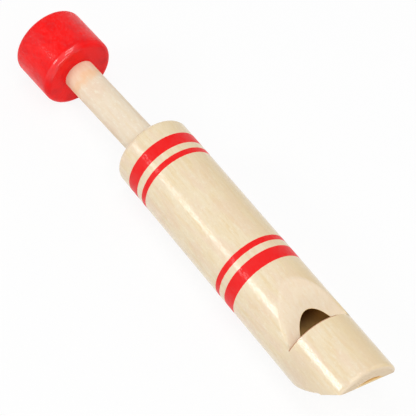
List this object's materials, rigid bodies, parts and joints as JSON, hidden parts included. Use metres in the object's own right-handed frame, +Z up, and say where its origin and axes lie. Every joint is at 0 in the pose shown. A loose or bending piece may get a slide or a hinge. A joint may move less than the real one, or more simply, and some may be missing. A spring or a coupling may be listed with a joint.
{
  "type": "slide whistle",
  "caption": "Wooden slide whistle: a bored barrel with a slanted mouthpiece and sound window, and a rod with a knob that slides a piston along the bore to bend the note.",
  "frame": {"origin": "on the floor under the middle of the whistle's bounding box, with the slide where the picture shows it", "axes": "+X along the barrel from the mouth to the knob, +Z up through the middle of the window, +Y to the side to which the rod leans"},
  "size_m": [0.151, 0.0254, 0.023],
  "materials": {
    "barrel_wood": "clear satin varnish with painted red rings",
    "block_wood": "raw fine-grained wood",
    "seal_rubber": "matt black rubber",
    "piston_wood": "raw fine-grained wood",
    "rod_wood": "raw sanded wood",
    "knob_paint": "glossy red paint over wood"
  },
  "bodies": {
    "barrel": {"barrel": "barrel_wood", "windway_block": "block_wood"},
    "seal": {"piston_seal": "seal_rubber"},
    "piston": {"piston_head": "piston_wood"},
    "plunger": {"slide_rod": "rod_wood", "piston_cap": "piston_wood", "knob": "knob_paint"}
  },
  "joints": [
    {"name": "slide_travel", "type": "slide", "parent": "barrel", "child": "seal", "axis": [1, 0, 0], "range_m": [-0.034, 0.001]},
    {"name": "plunger_twist", "type": "hinge", "parent": "seal", "child": "piston", "pos_m": [0.01546, -0.00121, 0.0115], "axis": [1, 0, 0], "continuous": true},
    {"name": "rod_lean", "type": "hinge", "parent": "piston", "child": "plunger", "pos_m": [0.01546, -0.00121, 0.0115], "axis": [0, 0, 1], "range_deg": [-5.2, 0]}
  ]
}
